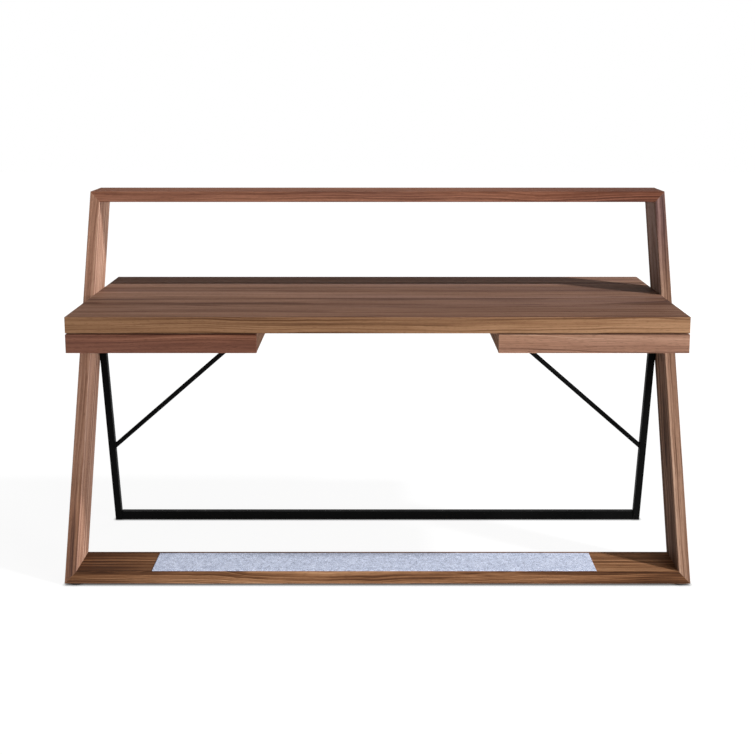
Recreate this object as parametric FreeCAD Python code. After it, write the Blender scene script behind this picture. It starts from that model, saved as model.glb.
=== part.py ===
import FreeCAD, Part
import math
import os

# Writing desk: a leaning ring of four mitred walnut boards carries the desktop, and a black steel frame
# that leans the other way props it from behind. Two flat drawers hang under the ends of the desktop on
# ball-bearing slides. The origin is on the floor under the middle of the desk. +X runs to the right, +Y to
# the back and +Z up.

# The ring of boards
frame_width = 1700.0
frame_height = 1032.0
frame_lean_degrees = 23.0
board_thickness = 30.0
board_depth = 132.0
board_edge_round = 1.5
spline_width = 18.0
spline_thickness = 4.0
spline_inset = 20.0
spline_clearance = 0.1

# The desktop
desktop_height = 744.0
desktop_depth = 625.0
desktop_thickness = 44.0
desktop_edge_round = 1.5

# The steel frame behind
leg_setback = 468.0
leg_lean_degrees = 12.3
leg_to_upright_gap = 1.6
tube_width = 20.0
tube_depth = 20.0
tube_wall = 2.0
tube_edge_round = 1.6
foot_rail_height = 25.0
brace_diameter = 14.0
brace_foot_height = 257.0
brace_housing_offset = 10.0
plate_thickness = 4.0
plate_corner_round = 4.0
leg_plate_length = 70.0
leg_plate_depth = 48.0
leg_plate_margin = 4.0
leg_plate_screw_inset = 12.0
brace_plate_length = 66.0
brace_plate_depth = 30.0
brace_plate_margin = 14.0
brace_plate_screw_inset = 9.0
brace_plate_screw_pitch = 18.0

# Bolts that tie the legs to the uprights
leg_bolt_drop = 94.0
leg_bolt_radius = 4.0
leg_bolt_head_radius = 7.0
leg_bolt_head_height = 4.4
leg_bolt_crown_radius = 4.4
leg_bolt_socket_radius = 2.9
leg_bolt_socket_depth = 2.6
leg_bolt_reach = 18.0
bolt_clearance = 0.2
spacer_radius = 10.0
insert_radius = 6.0
insert_length = 20.0
insert_clearance = 0.1

# Brackets between the desktop and the uprights
bracket_leg = 40.0
bracket_thickness = 4.0
bracket_length = 48.0
bracket_gap = 4.0
bracket_screw_shares = (0.2, 0.8)
bracket_screw_drop = 24.0

# Countersunk wood screws
screw_head_radius = 4.2
screw_head_height = 2.6
screw_shank_radius = 2.2
screw_tip_radius = 0.4
screw_tip_length = 6.0
plate_screw_length = 25.0
housing_screw_length = 50.0
screw_recess_width = 1.0
screw_recess_length = 4.4
screw_recess_depth = 1.5
screw_clearance = 0.1

# Glides
glide_height = 5.0
glide_radius = 14.0
glide_edge_round = 1.0
glide_pin_radius = 3.0
glide_pin_length = 14.0
glide_inset = 28.0
glide_edge_distance = 16.0
rear_pad_height = 2.0
glide_plug_height = 16.0
glide_clearance = 0.2

# The felt strip on the footboard
felt_width = 1212.0
felt_depth = 116.0
felt_thickness = 3.0
felt_offset = -9.0

# Drawer fronts and housings
shadow_gap = 3.0
drawer_front_width = 502.0
drawer_front_height = 50.0
drawer_front_thickness = 18.0
drawer_front_edge_round = 1.0
front_to_housing_gap = 2.0
finger_cove_radius = 5.0
finger_cove_length = 300.0
housing_depth = 240.0
cheek_thickness = 16.0
cheek_lift = 2.0
housing_back_thickness = 12.0
housing_screw_shares = (0.2, 0.75)
counterbore_radius = 4.8
counterbore_depth = 25.0
bumper_radius = 5.0
bumper_thickness = 3.0
bumper_gap = 0.2
bumper_shares = (0.2, 0.8)

# Drawer boxes
drawer_side_thickness = 12.0
drawer_side_height = 32.0
drawer_lip = 12.0
drawer_back_thickness = 12.0
drawer_bottom_thickness = 4.0
drawer_bottom_lift = 3.5
panel_groove_depth = 5.0
panel_clearance = 0.15
dowel_radius = 3.0
dowel_length = 24.0
dowel_short_depth = 8.0
dowel_clearance = 0.1
dowel_height_shares = (0.46, 0.8)

# Ball-bearing slides
slide_thickness = 10.0
slide_travel = 140.0
rail_length = 200.0
rail_setback = 3.0
rail_wall = 1.2
case_rail_height = 17.0
case_rail_flange = 8.0
drawer_rail_height = 7.6
drawer_rail_flange = 5.6
cage_wall = 0.6
cage_offset = 3.4
cage_flange = 4.6
cage_end_margin = 5.0
ball_offset = 6.0
ball_clearance = 0.3
ball_pocket_clearance = 0.1
ball_pitch = 11.0
balls_per_track = 5
rail_screw_shares = (0.15, 0.5, 0.85)
rail_screw_head_radius = 2.3
rail_screw_head_height = 1.7
rail_screw_radius = 1.5
rail_screw_tip_radius = 0.3
rail_screw_tip_length = 3.0
rail_screw_length = 11.0
rail_screw_recess_width = 0.7
rail_screw_recess_length = 2.8
rail_screw_recess_depth = 0.9

# How far a cut runs past the face it opens
cut_overrun = 1.0

# A direction that differs from another by less than this share counts as parallel to it
parallel_share = 1e-6
full_turn_degrees = 360.0
hexagon_sides = 6

# Places worked out from the sizes above
half_width = frame_width / 2
inner_half_width = half_width - board_thickness
frame_slope = math.tan(math.radians(frame_lean_degrees))
leg_slope = math.tan(math.radians(leg_lean_degrees))
front_edge = -desktop_depth / 2
desktop_underside = desktop_height - desktop_thickness
leg_outer = inner_half_width - leg_to_upright_gap
leg_inner = leg_outer - tube_width
leg_top = desktop_underside - plate_thickness
front_top = desktop_underside - shadow_gap
front_bottom = front_top - drawer_front_height
front_inner_end = inner_half_width - drawer_front_width
brace_top_distance = front_inner_end - brace_housing_offset
leg_bolt_height = desktop_underside - leg_bolt_drop
front_back_face = front_edge + drawer_front_thickness
housing_front = front_back_face + front_to_housing_gap
housing_rear = housing_front + housing_depth
housing_back_face = housing_rear - housing_back_thickness
cheek_bottom = front_bottom + cheek_lift
drawer_rear = housing_back_face - bumper_thickness - bumper_gap
side_bottom = front_bottom + drawer_lip
side_top = side_bottom + drawer_side_height
slide_middle = (side_bottom + side_top) / 2
rail_front = housing_front + rail_setback
panel_bottom = side_bottom + drawer_bottom_lift
panel_top = panel_bottom + drawer_bottom_thickness
case_rail_reach = case_rail_height / 2 - rail_wall
ball_track = (case_rail_reach + drawer_rail_height / 2) / 2
ball_radius = (case_rail_reach - drawer_rail_height / 2) / 2 - ball_clearance
cage_height = 2 * ball_track + cage_wall
cage_length = (balls_per_track - 1) * ball_pitch + 2 * cage_end_margin
cage_front = rail_front + slide_travel / 2 + (rail_length - slide_travel - cage_length) / 2

up = FreeCAD.Vector(0, 0, 1)
right = FreeCAD.Vector(1, 0, 0)
back = FreeCAD.Vector(0, 1, 0)
frame_rise = FreeCAD.Vector(0, frame_slope, 1).normalize()
leg_rise = FreeCAD.Vector(0, -leg_slope, 1).normalize()
sides = {"left": -1, "right": 1}

os.makedirs("parts", exist_ok=True)


# Helpers
def frame_front(height):
    """Where the leaning ring's front lies at a height above the floor."""
    return front_edge + (height - glide_height) * frame_slope


def leg_front(height):
    """Where the front of the leaning legs lies at a height above the floor."""
    return front_edge + leg_setback - (height - rear_pad_height) * leg_slope


def block(low, high):
    """A box between two opposite corners, given in any order."""
    corner = FreeCAD.Vector(*(min(a, b) for a, b in zip(low, high)))
    return Part.makeBox(*(abs(b - a) for a, b in zip(low, high)), corner)


def prism(points, along):
    """A flat outline carried along a vector."""
    return Part.Face(Part.makePolygon(points + points[:1])).extrude(along)


def leaning_prism(outline, front_at, depth):
    """An outline of (x, z) corners, set on a leaning front and carried backwards."""
    points = [FreeCAD.Vector(x, front_at(z), z) for x, z in outline]
    return prism(points, back * depth)


def turned(profile):
    """A solid turned about the Z axis from (radius, height) corners."""
    points = [FreeCAD.Vector(radius, 0, height) for radius, height in profile]
    face = Part.Face(Part.makePolygon(points + points[:1]))
    return face.revolve(FreeCAD.Vector(), up, full_turn_degrees)


def placed(shape, point, direction):
    """A copy of a shape with its origin on a point and its Z axis along a direction."""
    copy = shape.copy()
    copy.Placement = FreeCAD.Placement(FreeCAD.Vector(*point), FreeCAD.Rotation(up, direction))
    return copy


def rounded(solid, radius, along=None):
    """Round the straight edges that run along a direction, or every edge where none is given."""
    edges = []
    for edge in solid.Edges:
        run = edge.Vertexes[-1].Point - edge.Vertexes[0].Point
        if along is None or run.normalize().cross(along).Length < parallel_share:
            edges.append(edge)
    return solid.makeFillet(radius, edges)


def save(name, solids):
    """Write one node, from one solid or a group of separate ones."""
    group = solids if isinstance(solids, list) else [solids]
    shape = group[0] if len(group) == 1 else Part.makeCompound(group)
    shape.exportStep(f"parts/{name}.step")
    print(f"{name}: {len(shape.Solids)} solids, {shape.Volume:.0f} mm3, valid {shape.isValid()}")


# Screws, dowels and their holes
def cross_recess(width, length, depth):
    """The cross-shaped drive recess in a screw head, opening at height zero."""
    arms = []
    for along_x, along_y in ((length, width), (width, length)):
        low = (-along_x / 2, -along_y / 2, -cut_overrun)
        arms.append(block(low, (along_x / 2, along_y / 2, depth)))
    return arms


def wood_screw(length):
    """A countersunk screw with its head flush at height zero and its tip at its length."""
    body = turned([
        (0, 0),
        (screw_head_radius, 0),
        (screw_shank_radius, screw_head_height),
        (screw_shank_radius, length - screw_tip_length),
        (screw_tip_radius, length),
        (0, length),
    ])
    return body.cut(cross_recess(screw_recess_width, screw_recess_length, screw_recess_depth))


def wood_screw_hole(length):
    """The room that a countersunk screw takes up, open past its head."""
    shank = screw_shank_radius + screw_clearance
    head = screw_head_radius + screw_clearance
    return turned([
        (0, -cut_overrun),
        (head, -cut_overrun),
        (head, 0),
        (shank, screw_head_height),
        (shank, length - screw_tip_length),
        (screw_tip_radius + screw_clearance, length + screw_clearance),
        (0, length + screw_clearance),
    ])


def rail_screw():
    """A small pan-head screw with the top of its head at height zero."""
    body = turned([
        (0, 0),
        (rail_screw_head_radius, 0),
        (rail_screw_head_radius, rail_screw_head_height),
        (rail_screw_radius, rail_screw_head_height),
        (rail_screw_radius, rail_screw_length - rail_screw_tip_length),
        (rail_screw_tip_radius, rail_screw_length),
        (0, rail_screw_length),
    ])
    return body.cut(cross_recess(rail_screw_recess_width, rail_screw_recess_length, rail_screw_recess_depth))


def rail_screw_hole():
    """The hole that a pan-head screw's shank takes up."""
    return Part.makeCylinder(rail_screw_radius + screw_clearance, rail_screw_length + screw_clearance)


def dowel(clearance):
    """A dowel, or its hole where a clearance is given, with the joint at height zero."""
    length = dowel_length + 2 * clearance
    start = FreeCAD.Vector(0, 0, -dowel_short_depth - clearance)
    return Part.makeCylinder(dowel_radius + clearance, length, start)


plate_screw = wood_screw(plate_screw_length)
plate_screw_hole = wood_screw_hole(plate_screw_length)
housing_screw = wood_screw(housing_screw_length)
housing_screw_hole = wood_screw_hole(housing_screw_length)
slide_screw = rail_screw()
slide_screw_hole = rail_screw_hole()


# Glides, the felt strip and the mitre splines
def disc_glide():
    """A low round glide with a pin that is pressed into the board above it."""
    pin_top = glide_height + glide_pin_length
    return turned([
        (0, 0),
        (glide_radius - glide_edge_round, 0),
        (glide_radius, glide_edge_round),
        (glide_radius, glide_height),
        (glide_pin_radius, glide_height),
        (glide_pin_radius, pin_top),
        (0, pin_top),
    ])


glide_places = []
for sign in sides.values():
    for distance in (glide_edge_distance, board_depth - glide_edge_distance):
        glide_places.append((sign * (half_width - glide_inset), front_edge + distance, 0))
save("front_glides", [placed(disc_glide(), place, up) for place in glide_places])

pin_hole = Part.makeCylinder(
    glide_pin_radius + glide_clearance,
    glide_height + glide_pin_length + glide_clearance,
)
glide_holes = [placed(pin_hole, place, up) for place in glide_places]


def spline(sign, height, rise, clearance):
    """A tongue across one mitre: a flat strip square to the mitre, leaning with the ring."""
    middle_x = sign * (half_width - board_thickness / 2)
    across = (spline_width / 2 + clearance) / math.sqrt(2)
    along = (spline_thickness / 2 + clearance) / math.sqrt(2)
    outline = []
    for a, b in ((1, 1), (1, -1), (-1, -1), (-1, 1)):
        x = middle_x + sign * (a * across - b * along)
        outline.append((x, height + rise * (a * across + b * along)))
    inset = spline_inset - clearance
    return leaning_prism(outline, lambda z: frame_front(z) + inset, board_depth - 2 * inset)


mitres = []
for sign in sides.values():
    mitres.append((sign, glide_height + board_thickness / 2, 1))
    mitres.append((sign, frame_height - board_thickness / 2, -1))
save("mitre_splines", [spline(*mitre, 0) for mitre in mitres])
spline_slots = [spline(*mitre, spline_clearance) for mitre in mitres]

footboard_top = glide_height + board_thickness
felt_left = felt_offset - felt_width / 2
felt_front = frame_front(footboard_top) + board_edge_round
save("felt_mat", block(
    (felt_left, felt_front, footboard_top),
    (felt_left + felt_width, felt_front + felt_depth, footboard_top + felt_thickness),
))


# Fixings under the desktop: places and directions, the same for the solids and their holes
def bracket_screw_places(sign):
    """Screws of one bracket: up into the desktop and sideways into the upright."""
    places = []
    for share in bracket_screw_shares:
        y = bracket_front + share * bracket_length
        inner_face = inner_half_width - bracket_thickness
        drop = desktop_underside - bracket_thickness
        places.append(((sign * (inner_half_width - bracket_screw_drop), y, drop), up))
        places.append(((sign * inner_face, y, desktop_underside - bracket_screw_drop), right * sign))
    return places


def leg_plate_screw_places(sign):
    """Screws of one leg plate, clear of the leg that is welded under it."""
    inner = leg_outer - leg_plate_length + leg_plate_screw_inset
    front = leg_plate_front + leg_plate_screw_inset
    rear = leg_plate_front + leg_plate_depth - leg_plate_screw_inset
    corners = ((inner, front), (inner, rear), (leg_outer - leg_plate_screw_inset, rear))
    return [((sign * x, y, leg_top), up) for x, y in corners]


def brace_plate_screw_places(sign):
    """Screws of one brace plate, in a line beside the brace."""
    first = brace_plate_inner + brace_plate_screw_inset
    y = brace_plate_front + brace_plate_depth / 2
    return [((sign * x, y, leg_top), up) for x in (first, first + brace_plate_screw_pitch)]


leg_plate_front = leg_front(leg_top) - leg_plate_margin
bracket_front = leg_plate_front + leg_plate_depth + bracket_gap
brace_plate_front = leg_front(leg_top) + tube_depth / 2 - brace_plate_depth / 2
brace_plate_inner = brace_top_distance + brace_plate_margin - brace_plate_length

bracket_screws = []
plate_screws = []
for sign in sides.values():
    bracket_screws += bracket_screw_places(sign)
    plate_screws += leg_plate_screw_places(sign)
    plate_screws += brace_plate_screw_places(sign)
save("frame_bracket_screws", [placed(plate_screw, *place) for place in bracket_screws])
save("plate_screws", [placed(plate_screw, *place) for place in plate_screws])
bracket_holes = [placed(plate_screw_hole, *place) for place in bracket_screws]
plate_holes = [placed(plate_screw_hole, *place) for place in plate_screws]

# Long screws stand in counterbores in the cheeks and hold them to the desktop
housing_screws = []
for sign in sides.values():
    for inner_face in (front_inner_end, inner_half_width - cheek_thickness):
        for share in housing_screw_shares:
            x = sign * (inner_face + cheek_thickness / 2)
            y = housing_front + share * housing_depth
            housing_screws.append(((x, y, cheek_bottom + counterbore_depth), up))
save("housing_screws", [placed(housing_screw, *place) for place in housing_screws])
housing_holes = [placed(housing_screw_hole, *place) for place in housing_screws]
counterbore = Part.makeCylinder(
    counterbore_radius,
    counterbore_depth + cut_overrun,
    FreeCAD.Vector(0, 0, -counterbore_depth - cut_overrun),
)
counterbores = [placed(counterbore, *place) for place in housing_screws]


# The ring of boards and the desktop
def ring_board(outline, along):
    """One mitred board of the leaning ring, with its long edges eased."""
    board = leaning_prism(outline, frame_front, board_depth)
    return rounded(board, board_edge_round, along)


insert_hole = Part.makeCylinder(insert_radius + insert_clearance, insert_length + insert_clearance)
leg_bolt_y = leg_front(leg_bolt_height) + tube_depth / 2
for side, sign in sides.items():
    outline = [
        (sign * half_width, glide_height),
        (sign * half_width, frame_height),
        (sign * inner_half_width, frame_height - board_thickness),
        (sign * inner_half_width, glide_height + board_thickness),
    ]
    seat = (sign * inner_half_width, leg_bolt_y, leg_bolt_height)
    holes = [placed(insert_hole, seat, right * sign)]
    save(f"{side}_upright", ring_board(outline, frame_rise).cut(spline_slots + bracket_holes + holes))

level_boards = {
    "top_shelf": (frame_height, frame_height - board_thickness),
    "footboard": (glide_height, glide_height + board_thickness),
}
for name, (outer, inner) in level_boards.items():
    outline = [
        (-half_width, outer),
        (half_width, outer),
        (inner_half_width, inner),
        (-inner_half_width, inner),
    ]
    save(name, ring_board(outline, right).cut(spline_slots + glide_holes))

desktop = block(
    (-inner_half_width, front_edge, desktop_underside),
    (inner_half_width, front_edge + desktop_depth, desktop_height),
)
desktop = rounded(desktop, desktop_edge_round)
save("desktop", desktop.cut(bracket_holes + plate_holes + housing_holes))

# Angle brackets in the corners between the desktop and the uprights
for side, sign in sides.items():
    angle = [
        (0, 0),
        (bracket_leg, 0),
        (bracket_leg, bracket_thickness),
        (bracket_thickness, bracket_thickness),
        (bracket_thickness, bracket_leg),
        (0, bracket_leg),
    ]
    points = []
    for inward, down in angle:
        x = sign * (inner_half_width - inward)
        points.append(FreeCAD.Vector(x, bracket_front, desktop_underside - down))
    save(f"{side}_frame_bracket", prism(points, back * bracket_length).cut(bracket_holes))


# The steel frame
def leg_prism(inner, outer, bottom, top, inset):
    """A leaning prism that follows the legs, drawn in by an inset at its front and back."""
    outline = [(inner, bottom), (outer, bottom), (outer, top), (inner, top)]
    return leaning_prism(outline, lambda z: leg_front(z) + inset, tube_depth - 2 * inset)


bolt_hole_length = tube_width + leg_to_upright_gap
bolt_hole = Part.makeCylinder(leg_bolt_radius + bolt_clearance, bolt_hole_length)
for side, sign in sides.items():
    leg = leg_prism(sign * leg_inner, sign * leg_outer, rear_pad_height, leg_top, 0)
    leg = rounded(leg, tube_edge_round, leg_rise)
    hollow = leg_prism(
        sign * (leg_inner + tube_wall),
        sign * (leg_outer - tube_wall),
        rear_pad_height - cut_overrun,
        leg_top + cut_overrun,
        tube_wall,
    )
    seat = (sign * leg_inner, leg_bolt_y, leg_bolt_height)
    save(f"{side}_rear_leg", leg.cut([hollow, placed(bolt_hole, seat, right * sign)]))

    plate = block(
        (sign * (leg_outer - leg_plate_length), leg_plate_front, leg_top),
        (sign * leg_outer, leg_plate_front + leg_plate_depth, desktop_underside),
    )
    save(f"{side}_leg_plate", rounded(plate, plate_corner_round, up).cut(plate_holes))

    brace_plate_outer = brace_plate_inner + brace_plate_length
    plate = block(
        (sign * brace_plate_inner, brace_plate_front, leg_top),
        (sign * brace_plate_outer, brace_plate_front + brace_plate_depth, desktop_underside),
    )
    save(f"{side}_brace_plate", rounded(plate, plate_corner_round, up).cut(plate_holes))

rail_y = leg_front(rear_pad_height)
rail_top = rear_pad_height + foot_rail_height
foot_rail = block((-leg_inner, rail_y, rear_pad_height), (leg_inner, rail_y + tube_depth, rail_top))
foot_rail = rounded(foot_rail, tube_edge_round, right)
rail_hollow = block(
    (-leg_inner - cut_overrun, rail_y + tube_wall, rear_pad_height + tube_wall),
    (leg_inner + cut_overrun, rail_y + tube_depth - tube_wall, rail_top - tube_wall),
)
save("rear_foot_rail", foot_rail.cut(rail_hollow))


def brace(sign):
    """A round bar in the plane of the legs, cut flush with its leg and its plate."""
    foot = FreeCAD.Vector(sign * leg_inner, leg_front(brace_foot_height) + tube_depth / 2, brace_foot_height)
    top = FreeCAD.Vector(sign * brace_top_distance, leg_front(leg_top) + tube_depth / 2, leg_top)
    run = top - foot
    extra = run.normalize() * (2 * brace_diameter)
    start = foot - extra
    bar = Part.makeCylinder(brace_diameter / 2, (top + extra - start).Length, start, extra)
    reach = 4 * brace_diameter
    beyond_leg = block(
        (foot.x, foot.y - reach, foot.z - reach),
        (foot.x + sign * reach, foot.y + reach, foot.z + reach),
    )
    above_plate = block((top.x - reach, top.y - reach, top.z), (top.x + reach, top.y + reach, top.z + reach))
    return bar.cut([beyond_leg, above_plate])


for side, sign in sides.items():
    save(f"{side}_brace", brace(sign))


# Glide plugs in the feet of the legs, and the bolts between the legs and the uprights
def plug_glide(sign):
    """A foot pad as wide as the leg, with a plug that fills the tube."""
    pad = leg_prism(sign * leg_inner, sign * leg_outer, 0, rear_pad_height, 0)
    inset = tube_wall + glide_clearance
    plug = leg_prism(
        sign * (leg_inner + inset),
        sign * (leg_outer - inset),
        rear_pad_height,
        rear_pad_height + glide_plug_height,
        inset,
    )
    return pad.fuse(plug).removeSplitter()


def leg_bolt():
    """A button-head bolt with its head under height zero and a hexagon socket."""
    length = tube_width + leg_to_upright_gap + leg_bolt_reach
    body = turned([
        (0, -leg_bolt_head_height),
        (leg_bolt_crown_radius, -leg_bolt_head_height),
        (leg_bolt_head_radius, 0),
        (leg_bolt_radius, 0),
        (leg_bolt_radius, length),
        (0, length),
    ])
    corners = []
    for corner in range(hexagon_sides):
        turn = math.radians(full_turn_degrees * corner / hexagon_sides)
        x = leg_bolt_socket_radius * math.cos(turn)
        y = leg_bolt_socket_radius * math.sin(turn)
        corners.append(FreeCAD.Vector(x, y, -leg_bolt_head_height - cut_overrun))
    return body.cut(prism(corners, up * (leg_bolt_socket_depth + cut_overrun)))


def sleeve(outer_radius, bore_radius, length):
    """A plain tube that starts at height zero."""
    return Part.makeCylinder(outer_radius, length).cut(Part.makeCylinder(bore_radius, length))


save("rear_glides", [plug_glide(sign) for sign in sides.values()])
bolts = []
spacers = []
inserts = []
bolt_bore = leg_bolt_radius + bolt_clearance
for sign in sides.values():
    outward = right * sign
    bolts.append(placed(leg_bolt(), (sign * leg_inner, leg_bolt_y, leg_bolt_height), outward))
    spacer = sleeve(spacer_radius, bolt_bore, leg_to_upright_gap)
    spacers.append(placed(spacer, (sign * leg_outer, leg_bolt_y, leg_bolt_height), outward))
    insert = sleeve(insert_radius, bolt_bore, insert_length)
    inserts.append(placed(insert, (sign * inner_half_width, leg_bolt_y, leg_bolt_height), outward))
save("leg_bolts", bolts)
save("leg_spacers", spacers)
save("leg_bolt_inserts", inserts)


# Drawer housings and drawers, worked out for the right and mirrored by a sign for the left
def channel(web, inward, flange, height, wall, front, length):
    """A U-shaped strip along Y: its web stands at x = web and its flanges reach inward."""
    half = height / 2
    outline = [
        (0, -half),
        (flange, -half),
        (flange, wall - half),
        (wall, wall - half),
        (wall, half - wall),
        (flange, half - wall),
        (flange, half),
        (0, half),
    ]
    points = [FreeCAD.Vector(web + inward * u, front, slide_middle + v) for u, v in outline]
    return prism(points, back * length)


cheek_inner_face = front_inner_end + cheek_thickness
cheek_outer_face = inner_half_width - cheek_thickness
box_inner = cheek_inner_face + slide_thickness
box_outer = cheek_outer_face - slide_thickness
hollow_inner = box_inner + drawer_side_thickness
hollow_outer = box_outer - drawer_side_thickness
back_front = drawer_rear - drawer_back_thickness
housing_dowels = []
case_screws = []
bumpers = []
rail_screw_places = [rail_front + share * rail_length for share in rail_screw_shares]

for side, sign in sides.items():
    inward_runs = ((cheek_inner_face, box_inner, 1), (cheek_outer_face, box_outer, -1))

    # Housing: two cheeks and a back, joined by dowels
    joints = []
    for face, direction in ((cheek_inner_face, 1), (cheek_outer_face, -1)):
        for share in dowel_height_shares:
            y = housing_rear - housing_back_thickness / 2
            z = cheek_bottom + share * (desktop_underside - cheek_bottom)
            joints.append(((sign * face, y, z), right * (sign * direction)))
    housing_dowels += [placed(dowel(0), *joint) for joint in joints]
    joint_holes = [placed(dowel(dowel_clearance), *joint) for joint in joints]

    case_places = []
    for face, box_face, direction in inward_runs:
        head = face + direction * (rail_wall + rail_screw_head_height)
        for y in rail_screw_places:
            case_places.append(((sign * head, y, slide_middle), right * (-sign * direction)))
    case_screws += [placed(slide_screw, *place) for place in case_places]
    case_screw_holes = [placed(slide_screw_hole, *place) for place in case_places]

    cheek_faces = {
        "inner": (front_inner_end, cheek_inner_face),
        "outer": (cheek_outer_face, inner_half_width),
    }
    for place, (low, high) in cheek_faces.items():
        cheek = block(
            (sign * low, housing_front, cheek_bottom),
            (sign * high, housing_rear, desktop_underside),
        )
        tools = joint_holes + case_screw_holes + housing_holes + counterbores
        save(f"{side}_housing_{place}_cheek", cheek.cut(tools))
    housing_back = block(
        (sign * cheek_inner_face, housing_back_face, cheek_bottom),
        (sign * cheek_outer_face, housing_rear, desktop_underside),
    )
    save(f"{side}_housing_back", housing_back.cut(joint_holes))

    # Rails, cages and balls
    case_rails = []
    drawer_rails = []
    cages = []
    balls = []
    rail_places = []
    for face, box_face, direction in inward_runs:
        inward = sign * direction
        case_rail = channel(
            sign * face, inward, case_rail_flange, case_rail_height, rail_wall,
            rail_front, rail_length)
        case_rails.append(case_rail.cut(case_screw_holes))
        head = box_face - direction * (rail_wall + rail_screw_head_height)
        places = [((sign * head, y, slide_middle), right * inward) for y in rail_screw_places]
        rail_places += places
        drawer_rail = channel(
            sign * box_face, -inward, drawer_rail_flange, drawer_rail_height, rail_wall,
            rail_front, rail_length)
        drawer_rails.append(drawer_rail.cut([placed(slide_screw_hole, *place) for place in places]))
        cage = channel(
            sign * (face + direction * cage_offset), inward, cage_flange, cage_height, cage_wall,
            cage_front, cage_length)
        pockets = []
        for track in (-ball_track, ball_track):
            for ball in range(balls_per_track):
                x = sign * (face + direction * ball_offset)
                y = cage_front + cage_end_margin + ball * ball_pitch
                centre = FreeCAD.Vector(x, y, slide_middle + track)
                balls.append(Part.makeSphere(ball_radius, centre))
                pocket_radius = ball_radius + ball_pocket_clearance
                pockets.append(Part.makeCylinder(pocket_radius, 2 * cage_wall, centre - up * cage_wall))
        cages.append(cage.cut(pockets))
    save(f"{side}_case_rails", case_rails)
    save(f"{side}_drawer_rails", drawer_rails)
    save(f"{side}_ball_cages", cages)
    save(f"{side}_slide_balls", balls)
    save(f"{side}_drawer_rail_screws", [placed(slide_screw, *place) for place in rail_places])
    rail_holes = [placed(slide_screw_hole, *place) for place in rail_places]

    # Drawer box: sides dowelled to the front and the back, with a bottom panel in grooves
    joints = []
    for share in dowel_height_shares:
        z = side_bottom + share * drawer_side_height
        for low in (box_inner, hollow_outer):
            x = sign * (low + drawer_side_thickness / 2)
            joints.append(((x, front_back_face, z), back))
        for face, direction in ((hollow_inner, 1), (hollow_outer, -1)):
            y = drawer_rear - drawer_back_thickness / 2
            joints.append(((sign * face, y, z), right * (sign * direction)))
    save(f"{side}_drawer_dowels", [placed(dowel(0), *joint) for joint in joints])
    joint_holes = [placed(dowel(dowel_clearance), *joint) for joint in joints]

    groove = block(
        (sign * (hollow_inner - panel_groove_depth), front_back_face - panel_groove_depth, panel_bottom),
        (sign * (hollow_outer + panel_groove_depth), back_front + panel_groove_depth, panel_top),
    )
    panel = block(
        (
            sign * (hollow_inner - panel_groove_depth + panel_clearance),
            front_back_face - panel_groove_depth + panel_clearance,
            panel_bottom + panel_clearance,
        ),
        (
            sign * (hollow_outer + panel_groove_depth - panel_clearance),
            back_front + panel_groove_depth - panel_clearance,
            panel_top - panel_clearance,
        ),
    )
    save(f"{side}_drawer_bottom", panel)

    tools = [groove] + joint_holes + rail_holes
    side_faces = {"inner": (box_inner, hollow_inner), "outer": (hollow_outer, box_outer)}
    for place, (low, high) in side_faces.items():
        board = block((sign * low, front_back_face, side_bottom), (sign * high, drawer_rear, side_top))
        save(f"{side}_drawer_{place}_side", board.cut(tools))
    board = block(
        (sign * hollow_inner, back_front, side_bottom),
        (sign * hollow_outer, drawer_rear, side_top),
    )
    save(f"{side}_drawer_back", board.cut(tools))

    front = block(
        (sign * front_inner_end, front_edge, front_bottom),
        (sign * inner_half_width, front_back_face, front_top),
    )
    front = rounded(front, drawer_front_edge_round)
    cove_start = sign * (front_inner_end + inner_half_width) / 2 - finger_cove_length / 2
    cove_place = FreeCAD.Vector(cove_start, front_back_face, front_bottom + drawer_lip / 2)
    cove = Part.makeCylinder(finger_cove_radius, finger_cove_length, cove_place, right)
    save(f"{side}_drawer_front", front.cut(tools + [cove]))

    # Soft stops on the housing back
    for share in bumper_shares:
        x = sign * (hollow_inner + share * (hollow_outer - hollow_inner))
        bumper = Part.makeCylinder(bumper_radius, bumper_thickness)
        bumpers.append(placed(bumper, (x, housing_back_face - bumper_thickness, slide_middle), back))

save("housing_dowels", housing_dowels)
save("case_rail_screws", case_screws)
save("drawer_bumpers", bumpers)

print(f"drawer travel {slide_travel}, ball cage travel {slide_travel / 2}")
print(f"leg front at the desktop {leg_front(leg_top):.1f}, housing rear {housing_rear:.1f}")
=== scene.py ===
# %% [markdown]
# # A walnut desk with a leaning frame
#
# The desk is a ring of four mitred walnut boards that leans back, a thick desktop held inside it, and a
# thin black steel frame that leans the other way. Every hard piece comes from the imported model, at its
# real size. This lesson gives those pieces their finishes, makes the felt strip and the welds, and sets
# up a small studio.
#
# A finish could be a photograph wrapped round each board. Here each one is worked out from the position
# of the point in the wood instead, so that the grain runs through a board and comes out right on every
# face.

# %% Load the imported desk
from math import radians

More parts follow.
